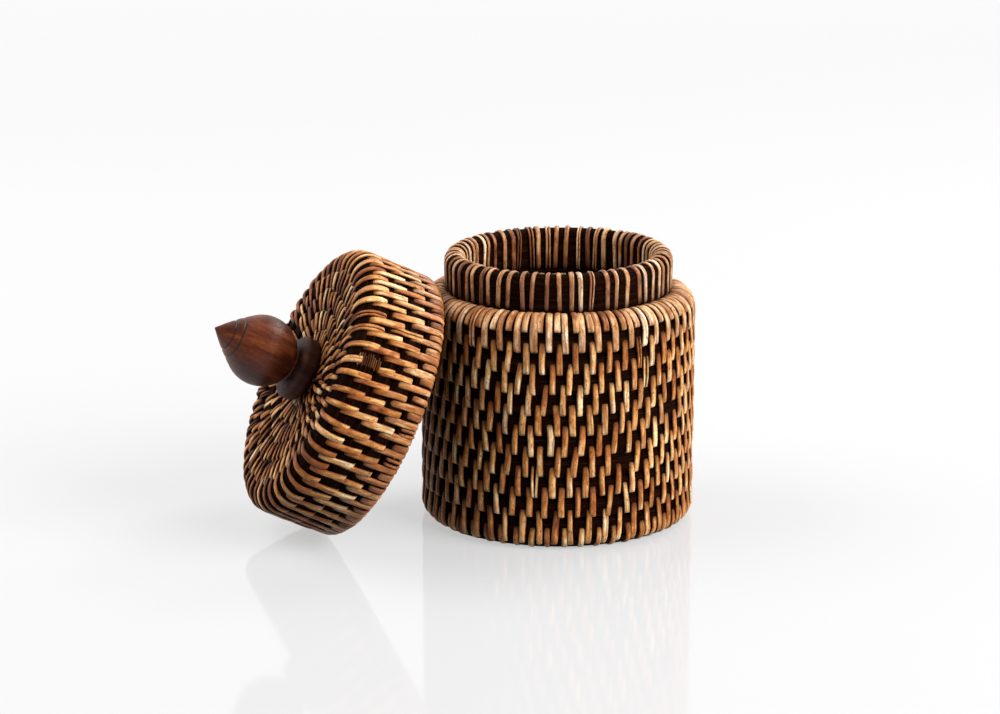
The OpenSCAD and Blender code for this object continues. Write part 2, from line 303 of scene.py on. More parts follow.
def strip(weave, outline, start, stop, angle, rng, height, lean, width, tint, dark,
          thick=CANE_T, steps=14, section=STRIP, point=0.0, fade=0.42):
    """One stitch along an outline from length start to stop, at an angle in radians.

    height and dark are lists of (part of the length, value): how far the strip stands off the outline, and
    how dark it is painted there, dye and painted shade where its ends dive under. lean is how far its end is
    carried round, in millimetres. fade is how much paler it is at its start than at its end, and point how
    much narrower its end is.
    """
    t = np.linspace(0, 1, steps)
    t = t - 0.35 * np.sin(2 * np.pi * t) / (2 * np.pi)
    s = start + (stop - start) * t
    r, z, nr, nz = outline.at(s)
    lift = np.interp(t, *zip(*height)) + rng.uniform(-0.1, 0.12)
    bow = rng.gauss(0, 0.16)
    twist = rng.gauss(0, 0.07)
    sway = lean * (t - 0.5) + bow * np.sin(np.pi * t) + 0.05 * np.sin(9 * t + rng.uniform(0, 6))
    ends = np.interp(t, (0, 0.02, 0.06, 0.93, 0.975, 1), (0.86, 0.97, 1, 1, 0.94, 0.7))
    swell = 1 + 0.05 * np.sin(5 * t + rng.uniform(0, 6)) - point * np.clip((t - 0.35) / 0.65, 0, 1)
    half = width / 2 * ends * swell
    across = section[:, 0][None] * half[:, None]
    up = (section[:, 1][None] - 1) * thick + lift[:, None] + twist * section[:, 0][None]
    radius = r[:, None] + nr[:, None] * up
    side = sway[:, None] + across
    turn = angle + side / np.maximum(radius, 4.0)
    points = np.stack([radius * np.cos(turn), radius * np.sin(turn), z[:, None] + nz[:, None] * up], -1)
    along = np.cumsum(np.r_[0, np.hypot(np.diff(r), np.diff(z))]) + rng.uniform(0, 900)
    grain = np.zeros(points.shape)
    grain[..., 0] = across + rng.uniform(0, 300)
    grain[..., 1] = along[:, None]
    grain[..., 2] = rng.uniform(0, 300)
    look = np.zeros(points.shape[:2] + (4,))
    look[..., 0] = np.clip(tint + fade * (0.45 - t), 0, 1)[:, None]
    # Darkness along the strip: dye and painted shade at its sunk ends
    look[..., 1] = np.interp(t, *zip(*dark))[:, None]
    # Nearness to the strip's edge, for the painted shade along its edges
    look[..., 2] = np.abs(section[:, 0])[None]
    look[..., 3] = rng.random()
    weave.grid(points, grain, look, close_v=True, caps=True)


def rod(weave, path, radius, tint, sunk):
    """A thin stick or fibre along a path of points, pointed at its ends. sunk darkens it like a stitch's sunk
    end, with dye and painted shade.
    """
    path = np.asarray(path, float)
    along = np.gradient(path, axis=0)
    along /= np.linalg.norm(along, axis=1)[:, None]
    side = np.cross(along, (0.31, 0.17, 0.93))
    side /= np.linalg.norm(side, axis=1)[:, None]
    other = np.cross(along, side)
    turn = np.linspace(0, 2 * np.pi, 6, endpoint=False)
    size = np.full(len(path), radius)
    size[[0, -1]] = radius * 0.4
    ring = side[:, None] * np.cos(turn)[None, :, None] + other[:, None] * np.sin(turn)[None, :, None]
    points = path[:, None] + ring * size[:, None, None]
    grain = np.zeros(points.shape)
    grain[..., 0] = turn[None] * radius + tint * 90
    grain[..., 1] = np.r_[0, np.cumsum(np.linalg.norm(np.diff(path, axis=0), axis=1))][:, None]
    weave.grid(points, grain, (tint, sunk, 0, 0.5), close_v=True, caps=True)


def pressed(r, z, half_r, half_z, square=2.6):
    """Section of a coil turn: an oval about (r, z), pressed towards a rectangle."""
    around = np.linspace(0, 2 * np.pi, 72, endpoint=False)
    c, s = np.cos(around), np.sin(around)
    size = (np.abs(c) ** square + np.abs(s) ** square) ** (-1 / square)
    return list(zip(r + size * c * half_r, z + size * s * half_z))


def bundle(weave, section, seed, strand=1.0, turns=210, depth=0.16):
    """One turn of the foundation: fibres round the axis, packed into a section of (radius, height)."""
    rng = np.random.default_rng(seed)
    ring = np.array(list(section) + [section[0]], float)
    far = np.r_[0, np.cumsum(np.hypot(*np.diff(ring, axis=0).T))]
    strands = max(8, round(far[-1] / strand))
    walk = np.arange(strands * 2) * far[-1] / (strands * 2)
    r, z = np.interp(walk, far, ring[:, 0]), np.interp(walk, far, ring[:, 1])
    tr, tz = np.roll(r, -1) - np.roll(r, 1), np.roll(z, -1) - np.roll(z, 1)
    size = np.hypot(tr, tz)
    ridge = np.where(np.arange(strands * 2) % 2, -depth, 0.0)
    turn = np.linspace(0, 2 * np.pi, turns, endpoint=False)
    waves = np.zeros((turns, strands * 2))
    for k in range(1, 9):
        phase = rng.uniform(0, 2 * np.pi, strands)
        strength = rng.uniform(0, 1, strands) * 0.12 / math.sqrt(k)
        waves += np.repeat(strength[None] * np.sin(k * 3 * turn[:, None] + phase[None]), 2, axis=1)
    lift = ridge[None] + waves
    radius = np.maximum(r[None] + (tz / size)[None] * lift, 0.05)
    height = z[None] - (tr / size)[None] * lift
    points = np.stack([radius * np.cos(turn)[:, None], radius * np.sin(turn)[:, None], height], -1)
    grain = np.zeros(points.shape)
    grain[..., 0] = walk[None] + seed * 37.0
    grain[..., 1] = turn[:, None] * r.mean()
    grain[..., 2] = seed * 11.0
    look = np.zeros(points.shape[:2] + (4,))
    look[..., 0] = np.repeat(rng.random(strands), 2)[None]
    # Every other strand is a sunk one between ridges, which the core material paints black as shade in the
    # groove
    look[..., 3] = (np.arange(strands * 2) % 2)[None]
    weave.grid(points, grain, look, close_u=True, close_v=True)


# ---------------------------------------------------------------- materials


class Shader:
    """Short calls for building one material's nodes."""

    def __init__(self, name):
        self.material = bpy.data.materials.new(name)
        self.material.use_nodes = True
        self.tree = self.material.node_tree
        self.base = self.tree.nodes["Principled BSDF"]

    def node(self, kind, settings=None, **inputs):
        made = self.tree.nodes.new(kind)
        for key, value in (settings or {}).items():
            setattr(made, key, value)
        for key, value in inputs.items():
            self.feed(made.inputs[int(key[1:]) if key[0] == "i" and key[1:].isdigit() else key], value)
        return made

    def feed(self, socket, value):
        if isinstance(value, bpy.types.NodeSocket):
            self.tree.links.new(value, socket)
        else:
            socket.default_value = value

    def math(self, operation, a, b=0.0, clamp=False):
        made = self.node("ShaderNodeMath", {"operation": operation, "use_clamp": clamp}, i0=a, i1=b)
        return made.outputs[0]

    def mix(self, factor, a, b, blend="MIX"):
        made = self.node("ShaderNodeMix", {"data_type": "RGBA", "blend_type": blend})
        self.feed(made.inputs[0], factor)
        self.feed(made.inputs[6], a)
        self.feed(made.inputs[7], b)
        return made.outputs[2]

    def ramp(self, factor, *stops):
        """A colour ramp with the given (place, colour) stops."""
        made = self.node("ShaderNodeValToRGB", i0=factor)
        elements = made.color_ramp.elements
        while len(elements) < len(stops):
            elements.new(0.5)
        for element, (place, colour) in zip(elements, stops):
            element.position = place
            element.color = (*colour, 1)
        return made.outputs[0]

    def span(self, value, low, high, to_low=0.0, to_high=1.0):
        """value taken from the range low to high into to_low to to_high, and held there."""
        made = self.node(
            "ShaderNodeMapRange", {"clamp": True}, i0=value, i1=low, i2=high, i3=to_low, i4=to_high
        )
        return made.outputs[0]

    def noise(self, vector, scale, detail, rough):
        made = self.node("ShaderNodeTexNoise", {"noise_dimensions": "3D"})
        self.feed(made.inputs["Vector"], vector)
        made.inputs["Scale"].default_value = scale
        made.inputs["Detail"].default_value = detail
        made.inputs["Roughness"].default_value = rough
        return made.outputs[0]

    def stretched(self, vector, scale):
        return self.node("ShaderNodeMapping", i0=vector, Scale=scale).outputs[0]

    def told(self, name):
        """What the mesh tells about each point, under the given name."""
        return self.node("ShaderNodeAttribute", {"attribute_name": name})

    def finish(self, colour, roughness, bumps, **fixed):
        """Sets the surface. bumps is a list of (height, strength, distance in mm)."""
        self.feed(self.base.inputs["Base Color"], colour)
        self.feed(self.base.inputs["Roughness"], roughness)
        normal = None
        for height, strength, distance in bumps:
            bump = self.node("ShaderNodeBump", Strength=strength, Distance=distance * MM, Height=height)
            if normal:
                self.feed(bump.inputs["Normal"], normal)
            normal = bump.outputs[0]
        if normal:
            self.feed(self.base.inputs["Normal"], normal)
        for key, value in fixed.items():
            self.base.inputs[key.replace("_", " ")].default_value = value
        return self.material


def cane_material(name, stops, gloss=0.42, shine=0.22):
    """Split cane: long fibres, streaks, dark nicks and dots, dye and painted shade in the sunk ends, and
    painted shade along the edges.
    """
    sh = Shader(name)
    grain = sh.told("grain").outputs["Vector"]
    look = sh.told("look")
    part = sh.node("ShaderNodeSeparateColor", i0=look.outputs["Color"])
    tint, sunk, edge = part.outputs[0], part.outputs[1], part.outputs[2]
    luck = look.outputs["Alpha"]
    fibre = sh.noise(sh.stretched(grain, (5.0, 0.16, 1.0)), 1.0, 5.0, 0.6)
    streak = sh.noise(sh.stretched(grain, (0.85, 0.05, 1.0)), 1.0, 3.0, 0.55)
    blotch = sh.noise(sh.stretched(grain, (0.5, 0.22, 1.0)), 1.0, 2.0, 0.5)
    nick = sh.noise(sh.stretched(grain, (1.7, 0.9, 1.0)), 1.0, 2.0, 0.5)
    dot = sh.noise(sh.stretched(grain, (3.4, 2.2, 1.0)), 1.0, 1.0, 0.5)
    shifted = sh.math("ADD", tint, sh.span(blotch, 0.32, 0.68, -0.26, 0.2))
    colour = sh.ramp(shifted, *stops)
    dark_line = sh.span(streak, 0.46, 0.6)
    colour = sh.mix(sh.math("MULTIPLY", dark_line, 0.72), colour, (0.2, 0.055, 0.014, 1))
    light_line = sh.span(fibre, 0.52, 0.75)
    colour = sh.mix(sh.math("MULTIPLY", light_line, 0.35), colour, (0.76, 0.45, 0.2, 1))
    colour = sh.mix(sh.math("MULTIPLY", sh.span(nick, 0.61, 0.67), 0.8), colour, (0.07, 0.02, 0.007, 1))
    colour = sh.mix(sh.math("MULTIPLY", sh.span(dot, 0.65, 0.7), 0.55), colour, (0.1, 0.035, 0.012, 1))
    # Painted shade along each strip's edges, where it meets the dark bundle
    rim = sh.span(edge, 0.7, 1.0, 0.0, 0.8)
    colour = sh.mix(rim, colour, (0.09, 0.026, 0.008, 1))
    # Dye and painted shade in the sunk ends: near black where a strip dives under the next course
    dye_and_shade = sh.math("ADD", sunk, sh.math("MULTIPLY", sh.span(blotch, 0.35, 0.65, -0.12, 0.12), sunk), True)
    colour = sh.mix(dye_and_shade, colour, (0.012, 0.004, 0.002, 1))
    rough = sh.span(fibre, 0.3, 0.75, gloss - 0.08, gloss + 0.14)
    rough = sh.math("ADD", rough, sh.math("MULTIPLY", luck, 0.08))
    return sh.finish(colour, rough, [(fibre, 0.6, 0.14), (nick, 0.3, 0.15)], Specular_IOR_Level=shine)


def core_material(name, dark, brown, share):
    """Fibre bundle, stained dark and painted near black as shade of the deep gaps between stitches, with fine
    strands along its run, brown by at most the given share. Its sunk strands stay black, painted shade in the
    grooves.
    """
    sh = Shader(name)
    grain = sh.told("grain").outputs["Vector"]
    look = sh.told("look")
    strand = sh.node("ShaderNodeSeparateColor", i0=look.outputs["Color"]).outputs[0]
    groove = look.outputs["Alpha"]
    fine = sh.noise(sh.stretched(grain, (3.0, 0.12, 1.0)), 1.0, 5.0, 0.6)
    wide = sh.noise(sh.stretched(grain, (0.4, 0.05, 1.0)), 1.0, 2.0, 0.5)
    pale = sh.math("ADD", sh.span(fine, 0.45, 0.8), sh.span(strand, 0.55, 1.0, 0.0, 0.5))
    pale = sh.math("MULTIPLY", pale, sh.span(wide, 0.3, 0.7, 0.3, 1.0))
    # Painted shade in the grooves: the sunk strands get no brown and stay near black
    pale = sh.math("MULTIPLY", pale, sh.span(groove, 0, 1, share, 0.0), True)
    colour = sh.mix(pale, (*dark, 1), (*brown, 1))
    return sh.finish(colour, sh.span(fine, 0.3, 0.7, 0.45, 0.75), [(fine, 0.6, 0.2)], Specular_IOR_Level=0.02)


def wood_material(name, low, middle, high, roughness):
    """Turned wood: fibres along the knob's axis, growth rings cut across, pores, and dark cut lines."""
    sh = Shader(name)
    grain = sh.told("grain").outputs["Vector"]
    cut = sh.node("ShaderNodeSeparateColor", i0=sh.told("look").outputs["Color"]).outputs[1]
    warp = sh.noise(sh.stretched(grain, (0.06, 0.06, 0.02)), 1.0, 3.0, 0.5)
    bent = sh.node("ShaderNodeVectorMath", {"operation": "ADD"}, i0=grain)
    sh.feed(bent.inputs[1], sh.node("ShaderNodeCombineXYZ", i0=sh.math("MULTIPLY", warp, 9.0)).outputs[0])
    rings = sh.noise(sh.stretched(bent.outputs[0], (0.42, 0.1, 0.035)), 1.0, 4.0, 0.6)
    fibre = sh.noise(sh.stretched(grain, (1.5, 1.5, 0.14)), 1.0, 5.0, 0.65)
    pore = sh.noise(sh.stretched(grain, (3.4, 3.4, 0.5)), 1.0, 2.0, 0.5)
    cloud = sh.noise(grain, 0.07, 3.0, 0.5)
    shade = sh.math("ADD", rings, sh.span(cloud, 0.3, 0.7, -0.12, 0.12))
    colour = sh.ramp(shade, (0.3, low), (0.5, middle), (0.72, high))
    colour = sh.mix(sh.span(fibre, 0.35, 0.7, 0.0, 0.45), colour, (*low, 1))
    colour = sh.mix(sh.math("MULTIPLY", sh.span(pore, 0.66, 0.72), 0.5), colour, (0.02, 0.008, 0.005, 1))
    colour = sh.mix(cut, colour, (0.012, 0.007, 0.006, 1))
    rough = sh.span(fibre, 0.3, 0.7, roughness - 0.06, roughness + 0.12)
    return sh.finish(colour, rough, [(fibre, 0.6, 0.2), (pore, 0.6, 0.2)], Specular_IOR_Level=0.38)


# Cane's colours from its darkest to its palest strips, as (place, linear colour)
HONEY = (
    (0.0, (0.1, 0.022, 0.007)),
    (0.18, (0.25, 0.065, 0.015)),
    (0.42, (0.44, 0.155, 0.037)),
    (0.68, (0.67, 0.335, 0.115)),
    (0.88, (0.82, 0.52, 0.245)),
    (1.0, (0.88, 0.65, 0.37)),
)
STRAW = (
    (0.0, (0.08, 0.022, 0.009)),
    (0.25, (0.27, 0.1, 0.038)),
    (0.5, (0.5, 0.25, 0.105)),
    (0.75, (0.68, 0.41, 0.215)),
    (1.0, (0.88, 0.68, 0.47)),
)
RUSSET = (
    (0.0, (0.1, 0.025, 0.009)),
    (0.3, (0.22, 0.062, 0.018)),
    (0.6, (0.4, 0.14, 0.038)),
    (0.85, (0.58, 0.28, 0.105)),
    (1.0, (0.72, 0.44, 0.21)),
)
cane = cane_material("split cane", HONEY)
neck_cane = cane_material("paler neck cane", STRAW, gloss=0.32, shine=0.6)
shoulder_cane = cane_material("paler shoulder cane", STRAW)
glossy_cane = cane_material("glossy rim cane", RUSSET, gloss=0.33, shine=0.45)
# The bundle's near black is partly stain and partly painted shade of the deep gaps between stitches
STAIN_AND_SHADE_BLACK, STRAND_BROWN = (0.0035, 0.0007, 0.0003), (0.06, 0.024, 0.012)
core = core_material("stained fibre bundle with painted gap shade", STAIN_AND_SHADE_BLACK, STRAND_BROWN, 0.75)
RED_WOOD = ((0.026, 0.005, 0.0018), (0.084, 0.0155, 0.0045), (0.18, 0.045, 0.0135))
GREY_WOOD = ((0.02, 0.0045, 0.0022), (0.052, 0.0135, 0.007), (0.12, 0.04, 0.024))
BAMBOO = ((0.2, 0.12, 0.05), (0.36, 0.23, 0.1), (0.5, 0.35, 0.18))
knob_wood = wood_material("turned red wood", *RED_WOOD, roughness=0.37)
collar_wood = wood_material("turned grey brown wood", *GREY_WOOD, roughness=0.56)
peg_wood = wood_material("bamboo peg", *BAMBOO, roughness=0.5)

# ---------------------------------------------------------------- stitches

# How a stitch of the wall stands off the outline from its square lower end to its sunk upper end, in mm
OVER_AND_IN = [
    (0, -1.5), (0.02, -0.25), (0.06, 0.15), (0.3, 0.4),
    (0.56, 0.1), (0.78, -0.2), (0.92, -0.6), (1, -1.9),
]
# How dark the same stitch is painted along its length: dye and painted shade where it dives in at its ends,
# most at its sunk upper end
SUNK_END = [(0, 0.3), (0.04, 0.0), (0.66, 0.0), (0.84, 0.3), (0.95, 0.85), (1, 1)]
# A stitch of the wall is this many courses long, and each course is carried round by this part of a stitch
STITCH_LONG = 1.66
ROW_SHIFT = 0.4
# A soft stitch on a hidden side, sunk at both ends
PRESSED_IN = [(0, -0.9), (0.1, 0), (0.9, 0), (1, -0.9)]
# Number of the stitch that is broken off at the lid's edge, where the bundle's sticks show
BROKEN = 42
# Part of a stitch by which each course of the lid is carried round from the one nearer the rim
LID_SHIFT = 0.17


def tint_of(rng, middle, spread):
    """How pale one strip is, from 0 to 1."""
    return min(1.0, max(0.0, rng.gauss(middle, spread)))


def course(weave, outline, start, stop, count, shift, rng, height, dark, width=CANE_W, lean=0.0,
           lean_spread=0.5, middle=0.58, spread=0.2, skip=0.008, split=0.05, place_spread=0.05,
           broken=None, shuffle=0.35, **more):
    """One course of stitches round an outline, each a little different.

    middle and spread give how pale the strips are, skip and split the shares of them that are left out or
    split in two. broken gives, by a stitch's number, how far its start and end are moved. more goes to each
    strip.
    """
    pitch = 2 * math.pi / count
    for i in range(count):
        angle = (i + shift + rng.gauss(0, place_spread)) * pitch
        own = rng.gauss(lean, lean_spread)
        wide = width * rng.uniform(0.86, 1.1)
        ends = np.array([rng.uniform(-shuffle, shuffle), rng.uniform(-shuffle, shuffle)])
        ends += (broken or {}).get(i, (0, 0))
        fate = rng.random()
        tone = tint_of(rng, middle, spread)
        if fate < skip:
            continue
        if fate < skip + split:
            r = outline.at((start + stop) / 2)[0]
            for side in (-1, 1):
                place = angle + side * wide * 0.3 / r
                strip(weave, outline, start + ends[0], stop + ends[1], place, rng, height,
                      own + side * rng.uniform(0, 0.5), wide * 0.42, tone, dark, **more)
            continue
        strip(weave, outline, start + ends[0], stop + ends[1], angle, rng, height,
              own, wide, tone, dark, **more)


def wall_stitches():
    """The ten courses of the outside, of which the lowest comes round the lower edge."""
    rng = random.Random("wall outside")
    weave = Weave()
    foot = basket_outside.near(BODY_R, BASE_ROUND + UNDER_Z)
    for k in range(WALL_ROWS):
        low = foot + ROW_H * (k - 0.5) - BASE_ROUND
        reach = ROW_H * STITCH_LONG
        # The lowest two are longer, and start lower down on the rounded edge.
        if k < 2:
            low -= ROW_H * (0.3 + 0.12 * k)
            reach += ROW_H * 0.3
        course(weave, basket_outside, low, low + reach, STITCHES, ROW_SHIFT * k, rng, OVER_AND_IN, SUNK_END,
               lean=0.35, lean_spread=0.75, width=CANE_W * 1.06, middle=0.6, spread=0.17, skip=0.014)
    weave.piece("wall_stitches", cane, "basket", ["wall_binding"])


def shoulder_strips():
    """Strips that bend over the shoulder to the neck, by turns two courses and one course long."""
    rng = random.Random("shoulder")
    weave = Weave()
    foot = basket_outside.near(BODY_R, BASE_ROUND + UNDER_Z)
    top = basket_outside.near(NECK_R - 1.5, SHOULDER_Z)
    long_low = foot + ROW_H * (WALL_ROWS - 0.5) - BASE_ROUND
    height = [(0, -2.0), (0.025, -0.6), (0.07, 0.05), (0.2, 0.2), (0.5, 0.05), (0.9, 0.1), (1, -0.6)]
    shade = [(0, 0.3), (0.05, 0), (0.8, 0), (0.93, 0.35), (1, 0.9)]
    shift = ROW_SHIFT * WALL_ROWS
    course(weave, basket_outside, long_low, top, STITCHES, shift, rng, height, shade,
           lean_spread=0.35, middle=0.69, spread=0.17, steps=22, skip=0, width=CANE_W * 1.2, fade=0.2)
    course(weave, basket_outside, long_low + ROW_H, top, STITCHES, shift + 0.5, rng, height, shade,
           lean_spread=0.3, middle=0.6, spread=0.2, steps=18, skip=0, width=CANE_W * 1.1, fade=0.2)
    weave.piece("shoulder_strips", shoulder_cane, "basket", ["shoulder_binding"])


def neck_strips():
    """Wraps up the outside of the neck, over its top and down inside."""
    rng = random.Random("neck")
    weave = Weave()
    height = [(0, -1.2), (0.04, -0.1), (0.5, 0.0), (0.95, 0.0), (1, -0.8)]
    shade = [(0, 0.95), (0.09, 0.45), (0.2, 0.05), (0.8, 0.1), (1, 0.8)]
    course(weave, neck_outline, 0.3, neck_outline.length - 1, NECK_WRAPS, 0.2, rng, height, shade, width=2.05,
           thick=0.7, lean_spread=1.5, middle=0.5, spread=0.27, skip=0, split=0.1, steps=30,
           place_spread=0.13, fade=0)
    weave.piece("neck_wraps", neck_cane, "basket", ["neck_binding"], place=neck_tilted)


def inside_stitches():
    """Stitches on the inner wall and on both sides of the floor."""
    rng = random.Random("inside")
    weave = Weave()
    wall_top = basket_inside.near(BODY_R - WALL_T, SHOULDER_Z - 11)
    plain = dict(steps=7, section=STRIP_LOW, split=0, skip=0.01, width=CANE_W * 1.15)
    course(weave, basket_inside, 1.0, wall_top, STITCHES, 0, rng, OVER_AND_IN, SUNK_END, **plain)
    for k in range(WALL_ROWS):
        start = wall_top + ROW_H * k - 1
        course(weave, basket_inside, start, start + ROW_H * 1.45, STITCHES, 0.5 * k, rng, OVER_AND_IN,
               SUNK_END, **plain)
    weave.piece("inner_wall_stitches", cane, "basket")

    weave = Weave()
    under = random.Random("underside")
    for outline, height in ((basket_inside, FLOOR_TOP), (basket_outside, 0.2)):
        for k in range(1, BASE_TURNS + 1):
            r = ROW_H * k
            middle = outline.near(r, height)
            count = max(9, round(STITCHES * r / FULL_COURSE_R))
            course(weave, outline, middle - ROW_H * 0.62, middle + ROW_H * 0.62, count, 0.5 * k, under,
                   PRESSED_IN, SUNK_END, **plain)
    weave.piece("floor_stitches", cane, "basket", ["base_binding"])


def lid_height(z):
    """Length along the lid's outline to height z of the skirt."""
    return lid_outside.near(LID_R, SKIRT_T / 2) + z - SKIRT_T / 2


def lid_stitches():
    """Two courses of the skirt, long strips bent over the crown's edge, the crown's rings, and sticks."""
    rng = random.Random("lid")
    weave = Weave()
    over = [
        (0, -1.4), (0.02, -0.2), (0.06, 0.2), (0.3, 0.35),
        (0.7, 0.1), (0.88, -0.25), (0.97, -0.7), (1, -1.5),
    ]
    # How dark the skirt's stitches are painted: dye and painted shade at their sunk ends
    clear = [(0, 0.3), (0.04, 0), (0.8, 0.0), (0.93, 0.4), (1, 0.9)]
    # Each course of the skirt: its number, the height it starts at, and its length
    for k, low, reach in ((1, 9.8, 15.7), (2, 18.3, 17.4)):
        start = lid_height(low)
        course(weave, lid_outside, start, start + reach, STITCHES, LID_SHIFT * k, rng, over, clear, lean=-1.0,
               lean_spread=0.5, middle=0.55, thick=0.8, width=CANE_W * 1.2,
               broken={BROKEN: (0, -9.0)} if k == 2 else None)
    start, stop = lid_height(27.6), lid_outside.near(CROWN_STRIP_END, LID_H)
    course(weave, lid_outside, start, stop, STITCHES, LID_SHIFT * 3, rng, over, SUNK_END, lean=-1.4,
           lean_spread=0.6, middle=0.42, steps=24, width=CANE_W * 1.2, thick=0.8, point=0.32,
           broken={BROKEN: (5.5, 0)})
    petal = [(0, -1.3), (0.04, -0.2), (0.12, 0.1), (0.4, 0.1), (0.65, -0.1), (0.85, -0.6), (1, -1.8)]
    shade = [(0, 0.5), (0.08, 0.1), (0.4, 0.0), (0.7, 0.3), (0.88, 0.8), (1, 1)]
    for i in range(CROWN_ROWS):
        start = lid_outside.near(crown_flat - 2.2 - ROW_H * i, LID_H)
        course(weave, lid_outside, start, start + ROW_H * 1.3, crown_count(i), 0.3 * i, rng, petal, shade,
               shuffle=1.5, width=CANE_W * (0.84 - 0.02 * i), lean=-1.0, lean_spread=1.2, middle=0.42,
               spread=0.26, point=0.5, place_spread=0.14, thick=0.75)
    sticks(weave, random.Random("sticks"))
    weave.piece("lid_crown_stitches", cane, "lid", ["lid_crown_binding"], place=lid_to_row)


def sticks(weave, rng):
    """The bundle's sticks, bare where a stitch is broken off, and a few loose fibres at the lid's rim."""
    middle = (BROKEN + LID_SHIFT * 3) * 2 * math.pi / STITCHES
    for z in np.arange(26.0, 36.0, 0.95):
        r, h, nr, nz = lid_outside.at(lid_height(z))
        lift = -0.3 + rng.uniform(-0.2, 0.15)
        turn = middle + np.linspace(-0.055, rng.uniform(0.02, 0.05), 9) + rng.uniform(-0.01, 0.015)
        out = lift + 0.12 * np.sin(7 * turn + rng.uniform(0, 6))
        path = np.stack([(r + nr * out) * np.cos(turn), (r + nr * out) * np.sin(turn), h + nz * out], 1)
        # Each bare stick is darkened as dye and painted shade of the hole it lies in
        rod(weave, path, 0.34, rng.uniform(0.1, 0.6), rng.uniform(0.55, 0.85))
    for _ in range(9):
        turn = math.radians(rng.uniform(262, 300))
        far = np.linspace(0, rng.uniform(1.2, 2.6), 6)[:, None]
        start = np.array([LID_R * math.cos(turn), LID_R * math.sin(turn), rng.uniform(2, 6)])
        way = np.array([math.cos(turn) * 0.6, math.sin(turn) * 0.6, -rng.uniform(0.1, 1.0)])
        bend = np.array([rng.uniform(-1, 1), rng.uniform(-1, 1), rng.uniform(-1, 1)]) * 0.12
        rod(weave, start + way * far + bend * far ** 2, 0.11, 0.6, 0.0)


def crown_count(i):
    """Stitches in ring i of the crown, counted inwards from its edge."""
    return round(STITCHES * (1 - i * (0.1 + 0.015 * i)))


def lid_rim_wraps():
    """Close wraps round the rim, by turns one course and two courses long."""
    rng = random.Random("rim")
    weave = Weave()
    height = [(0, -0.8), (0.05, 0.05), (0.7, 0.05), (0.9, -0.1), (1, -1.7)]
    shade = [(0, 0.7), (0.15, 0.1), (0.75, 0), (0.92, 0.4), (1, 1)]
    course(weave, lid_outside, 0.5, lid_height(17.0), STITCHES, 0, rng, height, shade, lean=-1.2,
           lean_spread=0.4, middle=0.75, spread=0.15, steps=26, skip=0, width=CANE_W * 1.22, fade=-0.1)
    course(weave, lid_outside, 0.5, lid_height(8.6), STITCHES, 0.5, rng, height, shade, lean=-0.8,
           lean_spread=0.4, middle=0.5, spread=0.2, steps=22, skip=0, split=0.12, width=CANE_W * 1.2,
           fade=-0.1)
    nodes = ["lid_rim_binding", "lid_skirt_binding"]
    weave.piece("lid_rim_wraps", glossy_cane, "lid", nodes, place=lid_to_row)


def lid_inside_stitches():
    """Stitches inside the skirt, then rings under the crown."""
    rng = random.Random("lid inside")
    weave = Weave()
    plain = dict(steps=7, section=STRIP_LOW, split=0, skip=0.01)
    for k in range(3):
        stop = lid_inside.length - ROW_H * k
        course(weave, lid_inside, stop - ROW_H * 1.4, stop, STITCHES, 0.5 * k, rng, PRESSED_IN,
               SUNK_END, **plain)
    for k, count in enumerate((12, 20, 30, 40, STITCHES)):
        start = ROW_H * (k + 0.1)
        course(weave, lid_inside, start, start + ROW_H * 1.3, count, 0.5 * k, rng, PRESSED_IN,
               SUNK_END, **plain)
    weave.piece("lid_inner_stitches", cane, "lid", place=lid_to_row)


# ---------------------------------------------------------------- coils


def wall_coils():
    """The ten turns of the wall."""
    weave = Weave()
    middle = BODY_R - WALL_T / 2
    for k in range(1, WALL_ROWS + 1):
        bundle(weave, pressed(middle, ROW_H * k, COIL_T / 2 - 0.1, ROW_H / 2 + 0.25), seed=k, strand=1.15)
    weave.piece("wall_coil_bundles", core, "basket", ["wall_coil"])


def shoulder_coils():
    """The turn that rounds the shoulder and the flat one inside it."""
    weave = Weave()
    low, top = ROW_H * (WALL_ROWS + 0.5), SHOULDER_Z - SKIN - 0.15
    bend_r, bend_z, bend = BODY_R - SHOULDER_ROUND, SHOULDER_Z - SHOULDER_ROUND, SHOULDER_ROUND - SKIN - 0.15
    split = bend_r - 1.0
    outer = [(split, low), (bend_r + bend - 0.3, low)] + arc(bend_r, bend_z, bend, 12, 90) + [(split, top)]
    bundle(weave, outer, seed=31)
    inner_r = NECK_R - NECK_T + 2 * SKIN
    flat = pressed((inner_r + split) / 2, (low + top) / 2, (split - inner_r) / 2 + 0.2, (top - low) / 2, 5)
    bundle(weave, flat, seed=32)
    weave.piece("shoulder_coil_bundles", core, "basket", ["shoulder_coil"])


def neck_bundle():
    """The thick hoop of the neck."""
    weave = Weave()
    low, half = SHOULDER_Z - SKIN, NECK_T / 2 - SKIN - 0.1
    bend_z = NECK_TOP - SKIN - 0.1 - half
    section = [(neck_mid - half, low), (neck_mid + half, low)] + arc(neck_mid, bend_z, half, 0, 180)
    bundle(weave, section, seed=41, strand=0.8, depth=0.1)
    weave.piece("neck_hoop_bundle", core, "basket", ["neck_hoop"], place=neck_tilted)


def base_coils():
    """The turns of the floor, the plug in its middle, and the turn that rounds the lower edge."""
    weave = Weave()
    middle, half = FLOOR_TOP / 2, FLOOR_TOP / 2 - SKIN
    for k in range(1, BASE_TURNS + 1):
        section = pressed(ROW_H * k, middle, ROW_H / 2 + 0.15, half)
        bundle(weave, section, seed=50 + k, strand=1.3, turns=40 + 30 * k)
    bundle(weave, pressed(2.6, middle, 2.5, half), seed=50, strand=1.3, turns=40)
    foot_in, bend = ROW_H * (BASE_TURNS + 0.5) + 0.2, BASE_ROUND - SKIN - 0.1
    low, top = UNDER_Z, ROW_H * 0.5
    foot = [(foot_in, top), (foot_in, low)] + arc(BODY_R - SKIN - 0.1 - bend, low + bend, bend, -90, -12)
    bundle(weave, foot + [(BODY_R - 1.0, top)], seed=58)
    weave.piece("base_coil_bundles", core, "basket", ["base_coil"])


